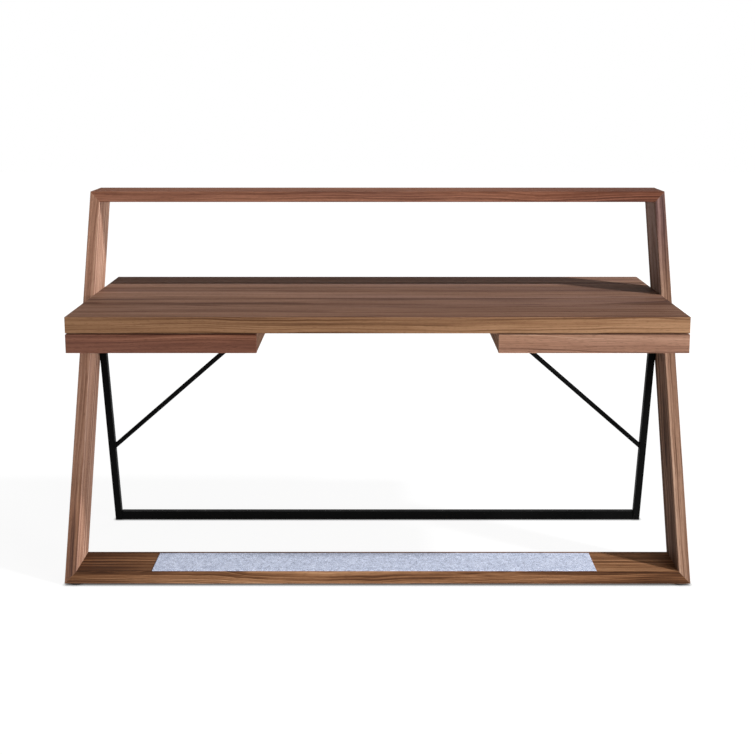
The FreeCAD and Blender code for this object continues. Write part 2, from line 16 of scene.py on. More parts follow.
import bpy
import numpy as np
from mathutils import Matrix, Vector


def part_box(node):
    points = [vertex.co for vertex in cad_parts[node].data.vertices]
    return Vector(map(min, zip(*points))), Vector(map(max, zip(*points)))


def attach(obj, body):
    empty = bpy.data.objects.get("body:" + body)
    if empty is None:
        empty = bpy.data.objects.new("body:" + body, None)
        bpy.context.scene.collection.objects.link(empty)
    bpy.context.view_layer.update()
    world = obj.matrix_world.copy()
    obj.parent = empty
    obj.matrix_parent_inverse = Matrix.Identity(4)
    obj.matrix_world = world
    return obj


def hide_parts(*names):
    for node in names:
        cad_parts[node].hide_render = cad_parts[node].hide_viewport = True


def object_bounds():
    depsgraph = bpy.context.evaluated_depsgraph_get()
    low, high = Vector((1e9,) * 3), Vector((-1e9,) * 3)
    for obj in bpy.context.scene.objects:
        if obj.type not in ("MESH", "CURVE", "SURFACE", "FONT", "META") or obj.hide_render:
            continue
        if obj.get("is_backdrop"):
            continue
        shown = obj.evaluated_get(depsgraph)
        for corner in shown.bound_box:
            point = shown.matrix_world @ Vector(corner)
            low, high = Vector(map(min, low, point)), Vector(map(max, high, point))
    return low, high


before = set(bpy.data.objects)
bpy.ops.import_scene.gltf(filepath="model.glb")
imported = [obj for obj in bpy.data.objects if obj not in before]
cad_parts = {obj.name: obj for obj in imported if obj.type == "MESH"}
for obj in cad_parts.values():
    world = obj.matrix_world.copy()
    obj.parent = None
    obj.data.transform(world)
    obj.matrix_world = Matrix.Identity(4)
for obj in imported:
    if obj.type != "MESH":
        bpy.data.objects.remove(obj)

cad_low, cad_high = (list(corner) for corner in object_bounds())
print("CAD box", [round(x, 4) for x in cad_low], [round(x, 4) for x in cad_high])

# %% [markdown]
# ## A short way to write a finish
#
# A Blender finish is a graph of nodes. Writing each link by hand hides the idea, so the first class adds
# a node, fills its sockets with numbers or with links, and hands back the output. The second class is a
# finish: a graph with a shader at its end. Values that are the same all over a surface go straight on to
# that shader.

# %% The node graph
class Graph:
    """A graph of nodes, and short ways to add to it."""

    def __init__(self, tree):
        self.tree = tree

    def put(self, kind, values=None, out=0, **settings):
        """Adds a node, fills its sockets and returns one of its outputs."""
        node = self.tree.nodes.new(kind)
        for key, value in settings.items():
            setattr(node, key, value)
        for socket, value in (values or {}).items():
            self.feed(node.inputs[socket], value)
        return node.outputs[out]

    def feed(self, socket, value):
        """Links an output to a socket, or sets the socket's number."""
        if isinstance(value, bpy.types.NodeSocket):
            self.tree.links.new(value, socket)
        else:
            socket.default_value = value

    def place(self):
        """The point's place in the desk's own frame, in metres."""
        return self.put("ShaderNodeTexCoord", out="Object")

    def part(self, vector, axis):
        """One of a vector's three numbers."""
        return self.put("ShaderNodeSeparateXYZ", {0: vector}, axis)

    def stretch(self, vector, scale):
        """The vector times a scale of its own for each axis."""
        return self.put("ShaderNodeVectorMath", {0: vector, 1: scale}, operation="MULTIPLY")

    def add(self, first, second):
        """The sum of two vectors."""
        return self.put("ShaderNodeVectorMath", {0: first, 1: second}, operation="ADD")

    def length(self, vector):
        """How long a vector is."""
        return self.put("ShaderNodeVectorMath", {0: vector}, "Value", operation="LENGTH")

    def agree(self, first, second):
        """How far two directions agree: 1 for the same way, 0 for square to each other."""
        return self.put("ShaderNodeVectorMath", {0: first, 1: second}, "Value", operation="DOT_PRODUCT")

    def math(self, operation, first, second=0.5, third=0.5):
        """One sum of arithmetic on plain numbers."""
        return self.put("ShaderNodeMath", {0: first, 1: second, 2: third}, operation=operation)

    def noise(self, vector, scale=1.0, detail=2.0, roughness=0.5, out="Fac"):
        """Smooth noise from about 0.2 to 0.8."""
        values = {"Vector": vector, "Scale": scale, "Detail": detail, "Roughness": roughness}
        return self.put("ShaderNodeTexNoise", values, out)

    def between(self, value, low, high, to_low=0.0, to_high=1.0):
        """The value carried smoothly from one range into another, and held at its ends."""
        values = {"Value": value, 1: low, 2: high, 3: to_low, 4: to_high}
        return self.put("ShaderNodeMapRange", values, interpolation_type="SMOOTHSTEP")

    def ramp(self, value, stops):
        """A colour read off a row of (position, colour) stops."""
        colour = self.put("ShaderNodeValToRGB", {"Fac": value})
        elements = colour.node.color_ramp.elements
        while len(elements) < len(stops):
            elements.new(0.5)
        for element, (position, rgb) in zip(elements, stops):
            element.position = position
            element.color = (*rgb, 1.0)
        return colour

    def mix(self, factor, first, second, blend="MIX"):
        """Two colours mixed by a factor."""
        values = {0: factor, 6: first, 7: second}
        return self.put("ShaderNodeMix", values, 2, data_type="RGBA", blend_type=blend)


# %% The finish
# how far a rounded normal has turned where an edge starts to show, and where it shows in full
EDGE_TURN = (0.02, 0.25)
EDGE_SAMPLES = 4


class Finish(Graph):
    """One finish: a material whose Principled shader holds the values that are the same all over a
    surface."""

    def __init__(self, name, constants):
        self.material = bpy.data.materials.new(name)
        self.material.use_nodes = True
        super().__init__(self.material.node_tree)
        self.shader = self.tree.nodes["Principled BSDF"]
        for socket, value in constants.items():
            self.shader.inputs[socket].default_value = value

    def show(self, socket, value):
        """Feeds one of the shader's sockets, such as its colour, with what the nodes worked out."""
        self.feed(self.shader.inputs[socket], value)

    def edges(self, radius):
        """1 along sharp edges and 0 on flat faces: how far a rounded normal turns from the true one."""
        rounded = self.put("ShaderNodeBevel", {"Radius": radius}, samples=EDGE_SAMPLES)
        true = self.put("ShaderNodeNewGeometry", out="Normal")
        return self.between(self.math("SUBTRACT", 1.0, self.agree(rounded, true)), *EDGE_TURN)

    def bump(self, height, distance, strength):
        """Tilts the surface by a height that is given as a share of a distance in metres."""
        values = {"Height": height, "Distance": distance, "Strength": strength}
        self.show("Normal", self.put("ShaderNodeBump", values))


def opaque(rgb, share=1.0):
    """A colour of three numbers, times a share, with the fourth number that a colour socket asks for."""
    return (*(share * x for x in rgb), 1.0)


def dress(finish, *nodes):
    """Gives CAD nodes a finish, through the slots that they came with."""
    for name in nodes:
        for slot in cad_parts[name].material_slots:
            slot.material = finish.material
    print(finish.material.name, "on", len(nodes), "nodes")


# %% [markdown]
# ## Walnut
#
# Walnut shows rings, dark streaks and short pores, all drawn out along the board. A picture of planks
# would repeat and would stretch over the edges. This finish cuts each board from its own imaginary log
# instead: the distance from the pith gives the rings, noise stretched along the grain gives streaks and
# pores, and a slow noise bends them all. The same rule then gives long lines on the faces and arcs on the
# ends.

# %% What walnut looks like
WALNUT_STOPS = (
    (0.0, (0.036, 0.015, 0.008)),
    (0.28, (0.110, 0.049, 0.025)),
    (0.55, (0.225, 0.112, 0.060)),
    (0.8, (0.345, 0.190, 0.108)),
    (1.0, (0.470, 0.290, 0.180)),
)
GREY_HEART = (0.150, 0.092, 0.078)
PORE_BROWN = (0.030, 0.014, 0.009)
RUBBED_BROWN = (0.46, 0.30, 0.20)

# waves in a metre along the grain, and across it both ways
BEND_WAVES = (1.7, 6.0, 6.0)
BAND_WAVES = (0.8, 24.0, 24.0)
STREAK_WAVES = (4.0, 230.0, 230.0)
PORE_WAVES = (55.0, 1500.0, 1500.0)
VEIN_WAVES = (1.8, 40.0, 40.0)
HEART_WAVES = (0.9, 9.0, 9.0)

# how much each pattern adds to the shade, and what comes off again to keep the shade near its middle
RING_SHARE = (1.25, -0.575)
BAND_SHARE = (0.75, -0.375)
STREAK_SHARE = (1.0, -0.5)
MIDDLE_SHADE = 0.5
print("walnut in", len(WALNUT_STOPS), "browns")

# %% Staves and growth rings
# how far, in metres, chance moves a stave in its log
STAVE_SHIFT = (5.0, 0.09, 0.05)
ACROSS_GRAIN = (0.0, 1.0, 1.0)
RING_DETAIL = {"Detail": 3.0, "Roughness": 0.66}
RING_DRIFT = 4.0

# where in a ring's growth its vein rises and ends, and where noise makes veins weak or strong
VEIN_RISE = (0.3, 0.9)
VEIN_END = (0.88, 1.0, 1.0, 0.0)
VEIN_STRENGTH = (0.38, 0.66, 0.05, 0.5)


def cut_staves(finish, grain, width):
    """The number of whole widths across the grain is a stave's number. A noise of that number moves the
    stave to its own place in the log, and gives it a lightness of its own from 0 to 1."""
    number = finish.math("FLOOR", finish.math("DIVIDE", finish.part(grain, "Y"), width))
    chance = finish.put("ShaderNodeTexWhiteNoise", {"W": number}, "Color", noise_dimensions="1D")
    return finish.add(grain, finish.stretch(chance, STAVE_SHIFT)), chance.node.outputs["Value"]


def growth_rings(finish, bent, rings_per_metre):
    """An uneven noise of the distance from the pith, and the veins: each ring darkens slowly and ends in
    a thin dark line, which is stronger in some places than in others."""
    radius = finish.length(finish.stretch(bent, ACROSS_GRAIN))
    values = {"W": radius, "Scale": rings_per_metre, **RING_DETAIL}
    rings = finish.put("ShaderNodeTexNoise", values, "Fac", noise_dimensions="1D")
    years = finish.math("MULTIPLY_ADD", radius, rings_per_metre, finish.math("MULTIPLY", rings, RING_DRIFT))
    age = finish.math("FRACT", years)
    vein = finish.math("MULTIPLY", finish.between(age, *VEIN_RISE), finish.between(age, *VEIN_END))
    strong = finish.between(finish.noise(finish.stretch(bent, VEIN_WAVES)), *VEIN_STRENGTH)
    return rings, finish.math("MULTIPLY", vein, strong)


# %% Painted light and shade on a board
PLAIN = (1.0, 1.0, 1.0)
FRONT = (0.0, -1.0, 0.0)
UP = (0.0, 0.0, 1.0)
LEFTWARD = (-1.0, 0.0, 0.0)

# how far a face agrees with a patch's direction where the patch starts, and where it is in full
FACING = (0.80, 0.90)


def painted_patch(tone, tint=PLAIN, faces=None, span=None):
    """A patch of painted light and shade on a board: what it adds to the tone at the desk's left and right
    ends, its own tint, the way that its faces look, and the axis and places between which it dies away.
    Without the last two it covers the board."""
    return tone, tint, faces, span


def lay_painted_light(finish, place, painted_patches, shade, tinted):
    """A patch's mask is 1 where the face's direction agrees with the patch's, and falls to 0 along its
    span. Under the mask the shade gains the patch's tone, which runs from the desk's left end to its
    right, and the tint gives way to the patch's own. This paints light and shade on the board."""
    for change, other, faces, span in painted_patches:
        mask = 1.0
        if faces:
            normal = finish.put("ShaderNodeNewGeometry", out="True Normal")
            mask = finish.between(finish.agree(normal, faces), *FACING)
        if span:
            axis, first, last = span
            near = finish.between(finish.part(place, axis), first, last, 1.0, 0.0)
            mask = finish.math("MULTIPLY", mask, near)
        more = finish.between(finish.part(place, "X"), cad_low[0], cad_high[0], *change)
        shade = finish.math("MULTIPLY_ADD", mask, more, shade)
        tinted = finish.mix(mask, tinted, opaque(other))
    return shade, tinted


# %% The walnut finish
SATIN_OIL = {"Specular IOR Level": 0.035, "IOR": 1.45}
BEND_DEPTH = (0.0, 0.035, 0.035)
STAVE_TONE = 0.06
PORE_EDGE = (0.60, 0.72)
HEART_EDGE = (0.45, 0.75, 0.0, 0.25)
RUBBED_RADIUS = 0.0012

# shares: of a colour over the one below, of roughness, and of the bump's height
PORE_COVER = 0.55
RUBBED_COVER = 0.22
SATIN_ROUGH = 0.58
STREAK_ROUGH = 0.18
PORE_ROUGH = 0.18
RUBBED_ROUGH = 0.08
PORE_DEPTH = -0.8
STREAK_HEIGHT = 0.35


def walnut(name, pith, turn=(0.0, 0.0, 0.0), tone=0.0, tint=PLAIN, figure=0.6, rings_per_metre=120.0,
           stave=0.0, painted_patches=()):
    """Walnut with its grain along X after a turn. pith is where the log's middle lies, tone makes the
    board lighter, tint colours it, figure is how bold its grain is, stave is the width of its staves, and
    the last argument holds its patches of painted light and shade."""
    finish = Finish(name, SATIN_OIL)
    place = finish.place()
    grain = finish.put("ShaderNodeMapping", {"Vector": place, "Location": pith, "Rotation": turn})
    lift = tone
    if stave:
        grain, own = cut_staves(finish, grain, stave)
        lift = finish.between(own, 0.0, 1.0, tone - STAVE_TONE, tone + STAVE_TONE)

    # a slow bend of the grain, and the patterns that follow it
    drift = finish.noise(finish.stretch(grain, BEND_WAVES), detail=4.0, roughness=0.45, out="Color")
    bent = finish.add(grain, finish.stretch(drift, BEND_DEPTH))
    rings, veins = growth_rings(finish, bent, rings_per_metre)
    bands = finish.noise(finish.stretch(bent, BAND_WAVES), detail=3.0)
    streaks = finish.noise(finish.stretch(bent, STREAK_WAVES), detail=4.0, roughness=0.62)
    pore = finish.between(finish.noise(finish.stretch(grain, PORE_WAVES), detail=1.0), *PORE_EDGE)
    heart = finish.between(finish.noise(finish.stretch(bent, HEART_WAVES)), *HEART_EDGE)
    worn = finish.edges(RUBBED_RADIUS)

    # the shares of rings, bands, streaks and veins in the shade, and the board's painted light and shade
    shade = finish.math("MULTIPLY_ADD", rings, *RING_SHARE)
    for pattern, share in ((bands, BAND_SHARE), (streaks, STREAK_SHARE)):
        shade = finish.math("ADD", shade, finish.math("MULTIPLY_ADD", pattern, *share))
    shade = finish.math("SUBTRACT", shade, veins)
    shade = finish.math("ADD", finish.math("MULTIPLY_ADD", shade, figure, MIDDLE_SHADE), lift)
    shade, tinted = lay_painted_light(finish, place, painted_patches, shade, opaque(tint))

    # the colour: a brown for the shade, greyer heartwood, the tint, dark pores and rubbed edges
    colour = finish.mix(heart, finish.ramp(shade, WALNUT_STOPS), opaque(GREY_HEART))
    colour = finish.mix(1.0, colour, tinted, "MULTIPLY")
    colour = finish.mix(finish.math("MULTIPLY", pore, PORE_COVER), colour, opaque(PORE_BROWN))
    colour = finish.mix(finish.math("MULTIPLY", worn, RUBBED_COVER), colour, opaque(RUBBED_BROWN))
    finish.show("Base Color", colour)

    # streaks, pores and rubbed edges are duller than the rest, and pores are sunk
    rough = finish.math("MULTIPLY_ADD", streaks, STREAK_ROUGH, SATIN_ROUGH)
    rough = finish.math("MULTIPLY_ADD", pore, PORE_ROUGH, rough)
    finish.show("Roughness", finish.math("MULTIPLY_ADD", worn, RUBBED_ROUGH, rough))
    height = finish.math("MULTIPLY_ADD", pore, PORE_DEPTH, finish.math("MULTIPLY", streaks, STREAK_HEIGHT))
    finish.bump(height, distance=0.0002, strength=0.5)
    return finish


# %% [markdown]
# Each board is cut from a different place in its log, so the pith moves from board to board, and the
# desktop is laid up from staves. Painted light and shade lie on some boards, set by the way a face looks
# and by its place: the desktop's top is painted darker and its front lighter to the right, the footboard
# darker at its left end and on its front towards the right, the shelf darker and redder at its right end,
# the left upright pale for its lit inner face and darker on its front, most at its foot, and the right
# upright darker at the top of its front, and on its inner face darker under the desktop and paler over
# it. The left drawer front is redder and darker than the right one.

# %% Browns of the boards, and their painted light and shade
RED_BROWN = (1.0, 0.84, 0.92)
PINK_BROWN = (1.0, 0.98, 1.08)
COOL_BROWN = (0.94, 1.06, 1.30)
# partly painted light: the left upright's pale brown stands partly for the light on its inner face
PAINTED_LIGHT_PALE_BROWN = (1.16, 1.18, 1.42)
DESK_BROWN = (1.0, 1.08, 1.34)
FOOT_BROWN = (1.0, 0.96, 0.86)
# painted light on the desktop's front, lighter towards its right end
PAINTED_DESK_FRONT_LIGHT = painted_patch((0.02, 0.15), (1.0, 1.05, 1.02), FRONT)
# painted shade on the desktop's top, darker towards its right end
PAINTED_TOP_SHADE_RIGHT = painted_patch((0.01, -0.08), DESK_BROWN, UP)
# painted light and shade on the footboard's front: a little lighter at its left end, darker at its right
PAINTED_FOOT_FRONT_SHADING = painted_patch((0.08, -0.14), FOOT_BROWN, FRONT)
# painted shade: the left upright's front a little darker than its inner face
PAINTED_UPRIGHT_FRONT_SHADE = painted_patch((-0.03, -0.03), (1.12, 1.08, 1.20), FRONT)
# painted shade on the left upright's front, darker low down
PAINTED_SHADE_LOW_FRONT = painted_patch((-0.36, -0.36), (1.10, 1.08, 1.12), FRONT, ("Z", 0.12, 0.36))
# painted shade at the footboard's left end, on all its faces
PAINTED_SHADE_LEFT_END = painted_patch((-0.34, -0.34), FOOT_BROWN, span=("X", -0.83, -0.50))
# painted shade on the footboard's front at its right end
PAINTED_FRONT_SHADE_RIGHT_END = painted_patch((-0.20, -0.20), FOOT_BROWN, FRONT, ("X", 0.82, 0.40))
# painted shade at the shelf's right end, which is also a redder brown
PAINTED_SHADE_RED_RIGHT = painted_patch((-0.26, -0.26), (1.0, 0.80, 0.92), span=("X", 0.85, 0.15))
# painted shade at the top of the right upright's front
PAINTED_SHADE_UPPER_FRONT = painted_patch((-0.22, -0.22), (0.90, 1.02, 1.60), FRONT, ("Z", 1.00, 0.72))
# painted shade on the right upright's inner face under the desktop
PAINTED_SHADE_INSIDE = painted_patch((-0.14, -0.14), COOL_BROWN, LEFTWARD, ("Z", 0.66, 0.72))
# painted light on the right upright's inner face over the desktop
PAINTED_LIGHT_INSIDE = painted_patch((0.26, 0.26), (1.0, 1.10, 1.45), LEFTWARD, ("Z", 0.76, 0.72))
print("browns and patches ready")

# %% Desktop, shelf and footboard
desktop_walnut = walnut(
    "desktop_walnut", (0.3, 0.05, -1.02), tone=0.04, tint=DESK_BROWN, figure=0.5, rings_per_metre=38.0,
    stave=0.104, painted_patches=[PAINTED_TOP_SHADE_RIGHT, PAINTED_DESK_FRONT_LIGHT])
dress(desktop_walnut, "desktop")
shelf_walnut = walnut("shelf_walnut", (1.7, -0.12, -1.09), tone=0.03, tint=RED_BROWN, painted_patches=[PAINTED_SHADE_RED_RIGHT])
dress(shelf_walnut, "top_shelf")
footboard_walnut = walnut(
    "footboard_walnut", (4.1, 0.33, -0.10), tone=0.02, tint=FOOT_BROWN, figure=0.9,
    painted_patches=[PAINTED_SHADE_LEFT_END, PAINTED_FOOT_FRONT_SHADING, PAINTED_FRONT_SHADE_RIGHT_END])
dress(footboard_walnut, "footboard")

# %% Uprights, drawer fronts and drawer housings
LEAN = radians(23)
UPRIGHT_TURN = (LEAN, radians(90), 0.0)
ACROSS_TURN = (0.0, 0.0, radians(-90))
LEFT_FRONT_TURN = (0.0, radians(0.8), 0.0)
RIGHT_FRONT_TURN = (0.0, radians(-1.2), 0.0)
# the left upright's high tone and pale tint are partly painted light for its lit inner face
left_upright_walnut = walnut(
    "left_upright_walnut", (2.0, 0.31, -0.79), UPRIGHT_TURN, tone=0.30, tint=PAINTED_LIGHT_PALE_BROWN, figure=0.8,
    painted_patches=[PAINTED_UPRIGHT_FRONT_SHADE, PAINTED_SHADE_LOW_FRONT])
dress(left_upright_walnut, "left_upright")
right_upright_walnut = walnut(
    "right_upright_walnut", (6.2, 0.22, 0.91), UPRIGHT_TURN, tone=0.10, tint=COOL_BROWN, figure=0.75,
    painted_patches=[PAINTED_SHADE_UPPER_FRONT, PAINTED_SHADE_INSIDE, PAINTED_LIGHT_INSIDE])
dress(right_upright_walnut, "right_upright")
left_front_walnut = walnut(
    "left_front_walnut", (3.3, 0.34, -0.61), LEFT_FRONT_TURN, tone=-0.10, tint=RED_BROWN, figure=0.42)
dress(left_front_walnut, "left_drawer_front")
right_front_walnut = walnut(
    "right_front_walnut", (8.4, 0.36, -0.76), RIGHT_FRONT_TURN, tone=0.25, tint=PINK_BROWN, figure=0.6)
dress(right_front_walnut, "right_drawer_front")
for side, log in (("left", 0.3), ("right", 5.3)):
    cheeks = walnut(f"{side}_housing_walnut", (log, 0.6, -0.60), ACROSS_TURN)
    dress(cheeks, f"{side}_housing_inner_cheek", f"{side}_housing_outer_cheek")
    dress(walnut(f"{side}_back_walnut", (log, 0.12, -0.60)), f"{side}_housing_back")

# %% [markdown]
# ## Drawer wood
#
# The drawer boxes, dowels and tongues are a pale, close-grained hardwood. It needs the same idea as the
# walnut with far less contrast: fine stretched noise for the fibres and short flecks across them.

# %% The drawer wood finish
HARDWOOD_STOPS = (
    (0.25, (0.40, 0.255, 0.145)),
    (0.5, (0.54, 0.375, 0.235)),
    (0.75, (0.63, 0.465, 0.310)),
)
FLECK_BROWN = (0.30, 0.18, 0.10)
FIBRE_WAVES = (5.0, 190.0, 190.0)
BROAD_WAVES = (1.2, 30.0, 30.0)
FLECK_WAVES = (160.0, 1300.0, 1300.0)
FLECK_EDGE = (0.62, 0.72)
BROAD_SHARE = 0.6
FIBRE_SHARE = 0.4
FLECK_COVER = 0.4
FIBRE_ROUGH = (0.2, 0.42)
FLECK_DEPTH = -0.6


def drawer_wood(name, pith, turn=(0.0, 0.0, 0.0)):
    """A pale hardwood: fine fibres along X after a turn, with small darker flecks."""
    finish = Finish(name, {"Specular IOR Level": 0.3})
    grain = finish.put("ShaderNodeMapping", {"Vector": finish.place(), "Location": pith, "Rotation": turn})
    fibres = finish.noise(finish.stretch(grain, FIBRE_WAVES), detail=4.0, roughness=0.6)
    broad = finish.noise(finish.stretch(grain, BROAD_WAVES), detail=2.0)
    flecks = finish.between(finish.noise(finish.stretch(grain, FLECK_WAVES)), *FLECK_EDGE)
    shade = finish.math("MULTIPLY_ADD", broad, BROAD_SHARE, finish.math("MULTIPLY", fibres, FIBRE_SHARE))
    colour = finish.ramp(shade, HARDWOOD_STOPS)
    colour = finish.mix(finish.math("MULTIPLY", flecks, FLECK_COVER), colour, opaque(FLECK_BROWN))
    finish.show("Base Color", colour)
    finish.show("Roughness", finish.math("MULTIPLY_ADD", fibres, *FIBRE_ROUGH))
    finish.bump(finish.math("MULTIPLY_ADD", flecks, FLECK_DEPTH, fibres), distance=0.0001, strength=0.5)
    return finish


for side, log in (("left", 1.1), ("right", 7.7)):
    long_grain = drawer_wood(f"{side}_drawer_long_wood", (log, 0.2, 0.1))
    dress(long_grain, f"{side}_drawer_back", f"{side}_drawer_bottom", f"{side}_drawer_dowels")
    side_grain = drawer_wood(f"{side}_drawer_side_wood", (log, 0.4, 0.3), ACROSS_TURN)
    dress(side_grain, f"{side}_drawer_inner_side", f"{side}_drawer_outer_side")
dress(drawer_wood("joint_wood", (0.4, 0.7, 0.2)), "mitre_splines", "housing_dowels")

# %% [markdown]
# ## Powder coat, plastic and rubber
#
# The rear frame has a fine powder coat: nearly black, with a faint orange-peel skin that thins on the
# edges. The glides and the drawers' stops are moulded, with a dull, slightly grainy skin. All three are a
# skin over a solid, so one function makes them from a colour, a roughness, the grain of the skin and the
# colour of rubbed edges.

# %% Coated and moulded finishes
CLOUD_WAVES = 22.0
CLOUD_EDGE = (0.3, 0.7)
CLOUD_LIFT = 1.25
SKIN_RUB_RADIUS = 0.0008
SKIN_RUB_COVER = 0.6
SKIN_HEIGHT = 0.12
SMOOTHER = 0.05
ROUGHER = 0.07


def coated(name, colour, rough, peel, edge_colour, specular):
    """A skin over a solid: a fine bumpy noise whose grain is peel, in metres, mottled roughness and
    rubbed edges."""
    finish = Finish(name, {"Specular IOR Level": specular})
    place = finish.place()
    skin = finish.noise(place, 1.0 / peel, 2.0)
    cloud = finish.noise(place, CLOUD_WAVES, 3.0)
    rubbed = finish.math("MULTIPLY", finish.edges(SKIN_RUB_RADIUS), SKIN_RUB_COVER)
    mottled = finish.mix(finish.between(cloud, *CLOUD_EDGE), opaque(colour), opaque(colour, CLOUD_LIFT))
    finish.show("Base Color", finish.mix(rubbed, mottled, opaque(edge_colour)))
    finish.show("Roughness", finish.between(cloud, *CLOUD_EDGE, rough - SMOOTHER, rough + ROUGHER))
    finish.bump(skin, SKIN_HEIGHT * peel, strength=0.35)
    return finish


STEEL_FRAME = ["rear_foot_rail", "leg_bolts", "leg_spacers"]
for kind in ("rear_leg", "brace", "leg_plate", "brace_plate", "frame_bracket"):
    STEEL_FRAME += [f"left_{kind}", f"right_{kind}"]
powder_coat = coated(
    "black_powder_coat", (0.0022, 0.0022, 0.0022), 0.5, 0.0007, (0.010, 0.010, 0.010), specular=0.035)
dress(powder_coat, *STEEL_FRAME)
glide_skin = coated("glide_plastic", (0.018, 0.017, 0.016), 0.52, 0.0004, (0.05, 0.05, 0.05), specular=0.4)
dress(glide_skin, "front_glides", "rear_glides")
stop_skin = coated("stop_rubber", (0.035, 0.034, 0.033), 0.78, 0.0005, (0.06, 0.06, 0.06), specular=0.25)
dress(stop_skin, "drawer_bumpers")

# %% [markdown]
# ## Zinc and brass
#
# The screws and slides are bright zinc over drawn steel, and the inserts for the leg bolts are turned
# brass. A plain metal shader would look like chrome. Here noise squeezed along the way the metal was
# drawn or turned makes fine lines in the roughness and the bump, and slow clouds dull the colour.

# %% Drawn metals
DULL_WAVES = 90.0
DULL_EDGE = (0.35, 0.75)
DULL_SHARE = 0.72
LINE_ROUGH = (0.3, 0.7, 0.24, 0.46)


def drawn_metal(name, colour, line_waves):
    """Plated metal with drawing lines: noise of so many waves a metre on each axis, in roughness and bump."""
    finish = Finish(name, {"Metallic": 1.0})
    place = finish.place()
    lines = finish.noise(finish.stretch(place, line_waves), detail=3.0)
    dull = finish.between(finish.noise(place, DULL_WAVES, 3.0), *DULL_EDGE)
    finish.show("Base Color", finish.mix(dull, opaque(colour), opaque(colour, DULL_SHARE)))
    finish.show("Roughness", finish.between(lines, *LINE_ROUGH))
    finish.bump(lines, distance=0.00004, strength=0.4)
    return finish


screw_zinc = drawn_metal("zinc_screws", (0.62, 0.62, 0.63), (900.0, 900.0, 900.0))
dress(screw_zinc, "frame_bracket_screws", "plate_screws", "housing_screws", "case_rail_screws",
      "left_drawer_rail_screws", "right_drawer_rail_screws")
slide_zinc = drawn_metal("slide_zinc", (0.66, 0.67, 0.69), (1600.0, 12.0, 1600.0))
for side in ("left", "right"):
    dress(slide_zinc, f"{side}_case_rails", f"{side}_drawer_rails", f"{side}_ball_cages",
          f"{side}_slide_balls")
insert_brass = drawn_metal("insert_brass", (0.72, 0.52, 0.22), (30.0, 1500.0, 1500.0))
dress(insert_brass, "leg_bolt_inserts")

# %% [markdown]
# ## The felt strip
#
# A strip of thick wool felt lies on the footboard, flush with its front. The CAD has only a plain block
# for it, so that block is replaced. A cloth simulation would do nothing here, because the strip lies flat
# on a board: what makes it felt is a soft rolled edge, a cut that isn't quite straight and a skin with a
# slight swell. A height over a grid of two parameters gives all three.

# %% Helpers for surfaces on a grid
def grid_faces(rows, columns, round_rows=False, round_columns=False):
    """Four-cornered faces between neighbours on a grid of points, as indices, with rows or columns joined
    up."""
    row = np.arange(rows if round_rows else rows - 1)[:, None]
    column = np.arange(columns if round_columns else columns - 1)[None, :]
    here = row * columns
    after = (row + 1) % rows * columns
    beside = (column + 1) % columns
    corners = [here + column, here + beside, after + beside, after + column]
    return np.stack([np.broadcast_to(c, (row.size, column.size)).ravel() for c in corners], axis=1)


def piece(name, points, faces, finish, slot, body="desk_frame"):
    """Makes a smooth mesh object from points and four-cornered faces, finishes it and rides it on a body."""
    mesh = bpy.data.meshes.new(name)
    mesh.from_pydata(points.reshape(-1, 3).tolist(), [], faces.tolist())
    mesh.shade_smooth()
    mesh.materials.append(finish.material)
    made = bpy.data.objects.new(name, mesh)
    bpy.context.scene.collection.objects.link(made)
    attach(made, body)
    print(name, len(mesh.vertices), "points")
    return made


# %% The felt's finish
FELT_STOPS = (
    (0.65, (0.17, 0.20, 0.30)),
    (0.735, (0.34, 0.39, 0.53)),
    (0.815, (0.56, 0.63, 0.81)),
    (0.90, (0.74, 0.80, 0.94)),
)
SWIRL_WAVES = 130.0
SWIRL_DEPTH = (0.012, 0.012, 0.012)
TUFT_WAVES = 520.0
WOOL_CLOUD_WAVES = 95.0
HAIR_WAVES = (300.0, 1500.0, 900.0)
WOOL_CLOUD_SHARE = 0.22
HAIR_SHARE = 0.33
HAIR_HEIGHT = 0.6

felt = Finish("mottled_felt", {"Roughness": 0.95, "Specular IOR Level": 0.1, "Sheen Weight": 0.25})
felt_place = felt.place()
swirl = felt.noise(felt_place, SWIRL_WAVES, 2.0, out="Color")
fibre_place = felt.add(felt_place, felt.stretch(swirl, SWIRL_DEPTH))
tufts = felt.noise(fibre_place, TUFT_WAVES, 3.0, 0.65)
clouds = felt.noise(felt_place, WOOL_CLOUD_WAVES, 2.0)
hairs = felt.noise(felt.stretch(fibre_place, HAIR_WAVES), detail=2.0)
wool = felt.math("MULTIPLY_ADD", clouds, WOOL_CLOUD_SHARE, tufts)
wool = felt.math("MULTIPLY_ADD", hairs, HAIR_SHARE, wool)
felt.show("Base Color", felt.ramp(wool, FELT_STOPS))
felt.bump(felt.math("MULTIPLY_ADD", hairs, HAIR_HEIGHT, tufts), distance=0.0006, strength=0.7)
print("felt finish ready")

# %% The felt's shape
FELT_GRID = (420, 44)
ROLL_STEPS = 6
WAVE_POWER = 0.3

# metres: the rolled edge, the wall under it, the swell of the top, and the waves of sides and ends
FELT_ROLL = 0.0011
FELT_WALL = 0.0009
FELT_SWELL = 0.00022
SIDE_WAVE = 0.0004
END_WAVE = 0.0005
felt_low, felt_high = (np.array(corner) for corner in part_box("felt_mat"))


def spread(count, edge, size):
    """Places from 0 to size: even in the middle and crowded within an edge's width of both ends."""
    turn = np.linspace(0.0, np.pi / 2, ROLL_STEPS + 1)[:-1]
    roll = edge * (1.0 - np.cos(turn))
    middle = np.linspace(edge, size - edge, count)
    return np.concatenate([roll, middle, (size - roll)[::-1]])


def quarter_round(share):
    """The height of a quarter circle of radius 1 at a share of the way in from its foot, and 1 further in."""
    return np.sqrt(np.clip(1.0 - (1.0 - np.clip(share, 0.0, 1.0)) ** 2, 0.0, 1.0))


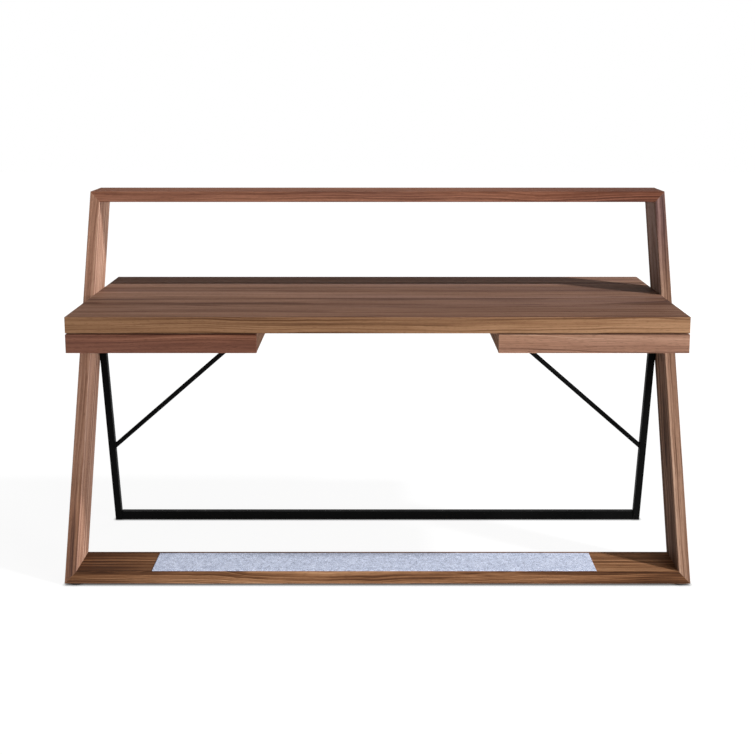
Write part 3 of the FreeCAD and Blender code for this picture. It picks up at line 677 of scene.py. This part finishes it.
def ripple(u, v, seed, waves=24, longest=0.4, shortest=0.01):
    """A slow uneven swell from -1 to 1: a sum of sine waves with lengths and headings drawn once."""
    draw = np.random.default_rng(seed)
    length = np.exp(draw.uniform(np.log(shortest), np.log(longest), waves))
    heading, phase = draw.uniform(0.0, 2 * np.pi, (2, waves))
    share = length ** WAVE_POWER
    total = np.zeros(np.broadcast(u, v).shape)
    for k in range(waves):
        ahead = u * np.cos(heading[k]) + v * np.sin(heading[k])
        total += share[k] * np.sin(2 * np.pi * ahead / length[k] + phase[k])
    return total / share.sum()


def felt_surface():
    """The top stands at the felt's thickness, less a quarter-round roll within the roll's width of each
    side, less a slight swell. The plan is the cut rectangle with its sides drawn in by a slow wave. The
    underside is flat."""
    size = felt_high - felt_low
    x = spread(FELT_GRID[0], FELT_ROLL, size[0])[:, None]
    y = spread(FELT_GRID[1], FELT_ROLL, size[1])[None, :]
    near = np.minimum(np.minimum(x, size[0] - x), np.minimum(y, size[1] - y))
    swell = FELT_SWELL * (ripple(x, y, seed=5) - 1.0)
    top = felt_low[2] + FELT_WALL + (size[2] - FELT_WALL + swell) * quarter_round(near / FELT_ROLL)
    side_wave = SIDE_WAVE * (1.0 + ripple(x, 0.0, seed=11, longest=0.3, shortest=0.05))
    end_wave = END_WAVE * (1.0 + ripple(y, 0.0, seed=12, longest=0.1, shortest=0.02))
    plan_x = felt_low[0] + x + end_wave * (1.0 - 2.0 * x / size[0])
    plan_y = felt_low[1] + y + side_wave * (1.0 - 2.0 * y / size[1])
    upper = np.stack(np.broadcast_arrays(plan_x, plan_y, top), axis=-1)
    under = upper.copy()
    under[..., 2] = felt_low[2]
    return upper, under


# %% The felt strip itself
def closed_slab(upper, under):
    """Joins two matching grids: the upper faces up, the under faces down, and a wall runs round their
    rims."""
    rows, columns = upper.shape[:2]
    count = rows * columns
    number = np.arange(count).reshape(rows, columns)
    rim = np.concatenate([number[:-1, 0], number[-1, :-1], number[:0:-1, -1], number[0, :0:-1]])
    after = np.roll(rim, -1)
    wall = np.stack([rim, after, after + count, rim + count], axis=1)
    top_faces = grid_faces(rows, columns)[:, ::-1]
    faces = np.concatenate([top_faces, top_faces[:, ::-1] + count, wall])
    return np.concatenate([upper.reshape(-1, 3), under.reshape(-1, 3)]), faces


felt_strip = piece("felt_strip", *closed_slab(*felt_surface()), felt, "felt")
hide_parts("felt_mat")

# %% [markdown]
# ## Welds
#
# The black frame is welded, and each joint has a small bead of weld under the paint. A bead could be a
# bump in the paint, but then it would vanish from the outline. Here it is a round profile carried along
# the corner line, with its radius rising and falling like a row of laid-down drops. The corner lines come
# from the boxes of the pieces that meet.

# %% The bead surface
PROFILE_STEPS = 12
NO_BEAD_RUNS_THIS_WAY = np.array([0.31, 0.57, 0.76])
PATH_STEP = 0.0006
FEWEST_POINTS = 8
CORNER_BEAD = 0.0021
BRACE_BEAD = 0.0016
DROP_LENGTH = 0.002
DROP_SHARE = 0.10
WAVER_LENGTH = 0.0047
WAVER_SHARE = 0.05
TIP_SHARE = 0.01


def tube(path, radius, closed):
    """A profile along a path: at each point a circle of that point's radius, square to the path's
    direction."""
    if closed:
        heading = np.roll(path, -1, axis=0) - np.roll(path, 1, axis=0)
    else:
        heading = np.gradient(path, axis=0)
    heading /= np.linalg.norm(heading, axis=1, keepdims=True)
    side = np.cross(heading, NO_BEAD_RUNS_THIS_WAY)
    side /= np.linalg.norm(side, axis=1, keepdims=True)
    over = np.cross(heading, side)
    turn = np.linspace(0.0, 2 * np.pi, PROFILE_STEPS, endpoint=False)[None, :, None]
    profile = np.cos(turn) * side[:, None] + np.sin(turn) * over[:, None]
    return path[:, None] + radius[:, None, None] * profile


def distance_along(path):
    """How far along the path each of its points lies: the steps between neighbours, added up."""
    return np.concatenate([[0.0], np.cumsum(np.linalg.norm(np.diff(path, axis=0), axis=1))])


def walk(corners):
    """Points at even steps along a row of straight runs between corners."""
    corners = np.asarray(corners, float)
    run = distance_along(corners)
    at = np.linspace(0.0, run[-1], max(FEWEST_POINTS, int(run[-1] / PATH_STEP)))
    return np.stack([np.interp(at, run, corners[:, k]) for k in range(3)], axis=1)


def weld(name, path, size=CORNER_BEAD, closed=False):
    """A bead of drops: the radius is the bead's size, with a ripple for each drop and a slow waver, and
    it closes to a point at free ends."""
    run = distance_along(path)
    drops = DROP_SHARE * np.abs(np.sin(np.pi * run / DROP_LENGTH))
    radius = size * (1.0 + drops + WAVER_SHARE * np.sin(run / WAVER_LENGTH))
    if not closed:
        tip = np.minimum(run, run[-1] - run) / size
        radius *= np.maximum(quarter_round(tip), TIP_SHARE)
    rings = tube(path, radius, closed)
    faces = grid_faces(rings.shape[0], rings.shape[1], round_rows=closed, round_columns=True)
    piece(name, rings, faces, powder_coat, "black_steel")


# %% The corner lines of the rear frame
LEG_SLOPE = np.tan(radians(12.3))
TUBE_DEPTH = 0.020
FREE_END = 0.003
BACK_END = 0.002
BRACE_RADIUS = 0.007
BRACE_RING_STEPS = 120
rail_low, rail_high = (np.array(corner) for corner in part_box("rear_foot_rail"))


def leg_middle(height):
    """How far back the middle of the leaning legs lies at a height: a straight line up from the rail."""
    return rail_low[1] + TUBE_DEPTH / 2 - LEG_SLOPE * (height - rail_low[2])


def rail_corners(inner):
    """At a leg's inner face, up the front of the rail and back over its top, nearly to the leaning leg's
    back."""
    foot_back = rail_high[1] - LEG_SLOPE * (rail_high[2] - rail_low[2])
    return [
        (inner, rail_low[1], rail_low[2] + FREE_END),
        (inner, rail_low[1], rail_high[2]),
        (inner, foot_back - BACK_END, rail_high[2]),
    ]


def leg_corners(inner, start, front, top):
    """Round three sides of a leg's top, under its plate: the front, the inner side and the back."""
    back = front + TUBE_DEPTH
    return [(start, front, top), (inner, front, top), (inner, back, top), (start, back, top)]


def brace_rings(foot, head):
    """Where a round brace meets two flat faces: points round the bar, slid along it on to the face. The
    face at its foot is square to X, and the one at its head is square to Z."""
    axis = (head - foot) / np.linalg.norm(head - foot)
    first = np.cross(axis, (0.0, 1.0, 0.0))
    first /= np.linalg.norm(first)
    second = np.cross(axis, first)
    turn = np.linspace(0.0, 2 * np.pi, BRACE_RING_STEPS, endpoint=False)[:, None]
    circle = BRACE_RADIUS * (np.cos(turn) * first + np.sin(turn) * second)
    return [point + circle - axis * (circle[:, k] / axis[k])[:, None] for point, k in ((foot, 0), (head, 2))]


# %% Welds of the rear frame
BRACE_FOOT_HEIGHT = 0.257
BRACE_HEAD_OUT = 0.308
for side, sign in (("left", -1.0), ("right", 1.0)):
    leg_low, leg_high = (np.array(corner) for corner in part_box(f"{side}_rear_leg"))
    inner = leg_low[0] if sign > 0 else leg_high[0]
    outer = leg_high[0] if sign > 0 else leg_low[0]
    weld(f"{side}_rail_weld", walk(rail_corners(inner)))
    start = outer - sign * FREE_END
    weld(f"{side}_leg_weld", walk(leg_corners(inner, start, leg_low[1], leg_high[2])))
    brace_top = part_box(f"{side}_brace")[1][2]
    foot = np.array([inner, leg_middle(BRACE_FOOT_HEIGHT), BRACE_FOOT_HEIGHT])
    head = np.array([sign * BRACE_HEAD_OUT, leg_middle(brace_top), brace_top])
    for end, ring in zip(("foot", "head"), brace_rings(foot, head)):
        weld(f"{side}_brace_{end}_weld", ring, BRACE_BEAD, closed=True)

# %% [markdown]
# ## Floor and air
#
# The floor is pale and wide. A white sheet under strong lamps would also look white, but it would flood
# the desk with light. Here the floor and the air behind it are white to the camera and in reflections
# only, and the light that they send on to the desk stays at a plain level, so that colours come out about
# as they are written. The floor keeps the desk's shadow, and a painted contact shadow darkens its glow in
# the narrow gap where the desk meets it.

# %% The floor
FLOOR_HALF = 14.0
floor_corners = [(x * FLOOR_HALF, y * FLOOR_HALF, 0.0) for x, y in ((-1, -1), (1, -1), (1, 1), (-1, 1))]
floor_mesh = bpy.data.meshes.new("studio_floor")
floor_mesh.from_pydata(floor_corners, [], [(0, 1, 2, 3)])
floor = bpy.data.objects.new("studio_floor", floor_mesh)
bpy.context.scene.collection.objects.link(floor)
floor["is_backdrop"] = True
print("floor", 2 * FLOOR_HALF, "metres wide")

# %% The floor's finish
# the glow is a little under white near the desk, and a painted contact shadow darkens it in narrow gaps
FLOOR_GREY = (0.78, 0.78, 0.78)
SHADOW_GREY = (0.09, 0.09, 0.09)
GLOW_RISE = (0.9, 2.6, 0.935, 1.0)
CONTACT_SHADOW_REACH = 0.010
CONTACT_SHADOW_SAMPLES = 8
CONTACT_SHADOW_POWER = 1.6


def seen(graph):
    """1 for rays from the camera, for reflections and for rays through glass, and 0 for the light that
    bounces."""
    path = graph.tree.nodes.new("ShaderNodeLightPath")
    first = graph.math("MAXIMUM", path.outputs["Is Camera Ray"], path.outputs["Is Glossy Ray"])
    return graph.math("MAXIMUM", first, path.outputs["Is Transmission Ray"])


floor_material = bpy.data.materials.new("pale_floor")
floor_material.use_nodes = True
floor_material.node_tree.nodes.clear()
pale = Graph(floor_material.node_tree)
lit = pale.put("ShaderNodeBsdfDiffuse", {"Color": opaque(FLOOR_GREY)})
shaded = pale.put("ShaderNodeBsdfDiffuse", {"Color": opaque(SHADOW_GREY)})
white = pale.between(pale.length(pale.place()), *GLOW_RISE)
# painted contact shadow: the glow dims where ambient occlusion finds the desk close by
painted_contact_shadow = pale.put("ShaderNodeAmbientOcclusion", {"Distance": CONTACT_SHADOW_REACH}, "AO", samples=CONTACT_SHADOW_SAMPLES)
strength = pale.math("MULTIPLY", white, pale.math("POWER", painted_contact_shadow, CONTACT_SHADOW_POWER))
glow = pale.put("ShaderNodeEmission", {"Strength": strength})
to_camera = pale.put("ShaderNodeAddShader", {0: shaded, 1: glow})
surface = pale.put("ShaderNodeMixShader", {0: seen(pale), 1: lit, 2: to_camera})
floor_output = pale.tree.nodes.new("ShaderNodeOutputMaterial")
pale.feed(floor_output.inputs["Surface"], surface)
floor_mesh.materials.append(floor_material)
print("floor finish ready")

# %% The air
AIR_LIGHT = 0.08
WHITE_LIGHT = 1.0
world = bpy.data.worlds.new("studio_air")
bpy.context.scene.world = world
world.use_nodes = True
air = Graph(world.node_tree)
backdrop = air.tree.nodes["Background"]
backdrop.inputs["Color"].default_value = opaque((1.0, 1.0, 1.0))
level = air.put("ShaderNodeMapRange", {"Value": seen(air), 3: AIR_LIGHT, 4: WHITE_LIGHT})
air.feed(backdrop.inputs["Strength"], level)
print("air lights the desk at", AIR_LIGHT)

# %% [markdown]
# ## Lamps
#
# One wide lamp would light everything softly and lose the shelf's shadow. So a lamp high on the right,
# small for its distance, gives the crisp shadow of the shelf on the desktop. A wide one in front lights
# the fronts, and weak ones on the left and behind fill the faces that the others miss.

# %% Lamps
def lamp(name, place, target, size, power):
    """A square lamp at a place, turned to a target, with its side in metres and its power in watts."""
    light = bpy.data.lights.new(name, "AREA")
    light.size = size
    light.energy = power
    made = bpy.data.objects.new(name, light)
    made.location = place
    heading = Vector(target) - Vector(place)
    made.rotation_euler = heading.to_track_quat("-Z", "Y").to_euler()
    made.visible_camera = False
    bpy.context.scene.collection.objects.link(made)
    print(name, power, "W")
    return made


lamp("high_right_lamp", (9.64, -2.10, 9.30), target=(0.0, 0.0, 0.70), size=0.80, power=1840.0)
lamp("front_right_lamp", (3.0, -3.5, 0.90), target=(0.0, -0.3, 0.5), size=1.6, power=145.0)
lamp("left_fill_lamp", (-3.0, -3.6, 1.00), target=(0.0, 0.0, 0.6), size=1.8, power=32.0)
back_fill = lamp("back_fill_lamp", (1.8, 4.2, 1.30), target=(0.0, 0.0, 0.6), size=2.0, power=60.0)
back_fill.visible_glossy = False

# %% [markdown]
# ## The camera
#
# The camera stands in front of the middle of the desk, above the height of the shelf, and looks slightly
# down. Tilting it further would centre the desk too, but the uprights would draw together towards the
# floor. Instead the picture is shifted down, as in a view camera, so that they keep their lines.

# %% Camera and colours
SENSOR_MM = 36.0
LENS_MM = 53.698
SHIFT_DOWN = 0.16
CAMERA_PLACE = (0.0, -3.2003, 1.3464)
LOOK_DOWN = 8.714
camera = bpy.data.cameras.new("photo_camera")
camera.sensor_width = SENSOR_MM
camera.lens = LENS_MM
camera.shift_y = -SHIFT_DOWN
camera_object = bpy.data.objects.new("photo_camera", camera)
camera_object.location = CAMERA_PLACE
camera_object.rotation_euler = (radians(90.0 - LOOK_DOWN), 0.0, 0.0)
bpy.context.scene.collection.objects.link(camera_object)
bpy.context.scene.camera = camera_object
bpy.context.scene.view_settings.view_transform = "Standard"
print("camera", LENS_MM, "mm, looking down by", LOOK_DOWN, "degrees")
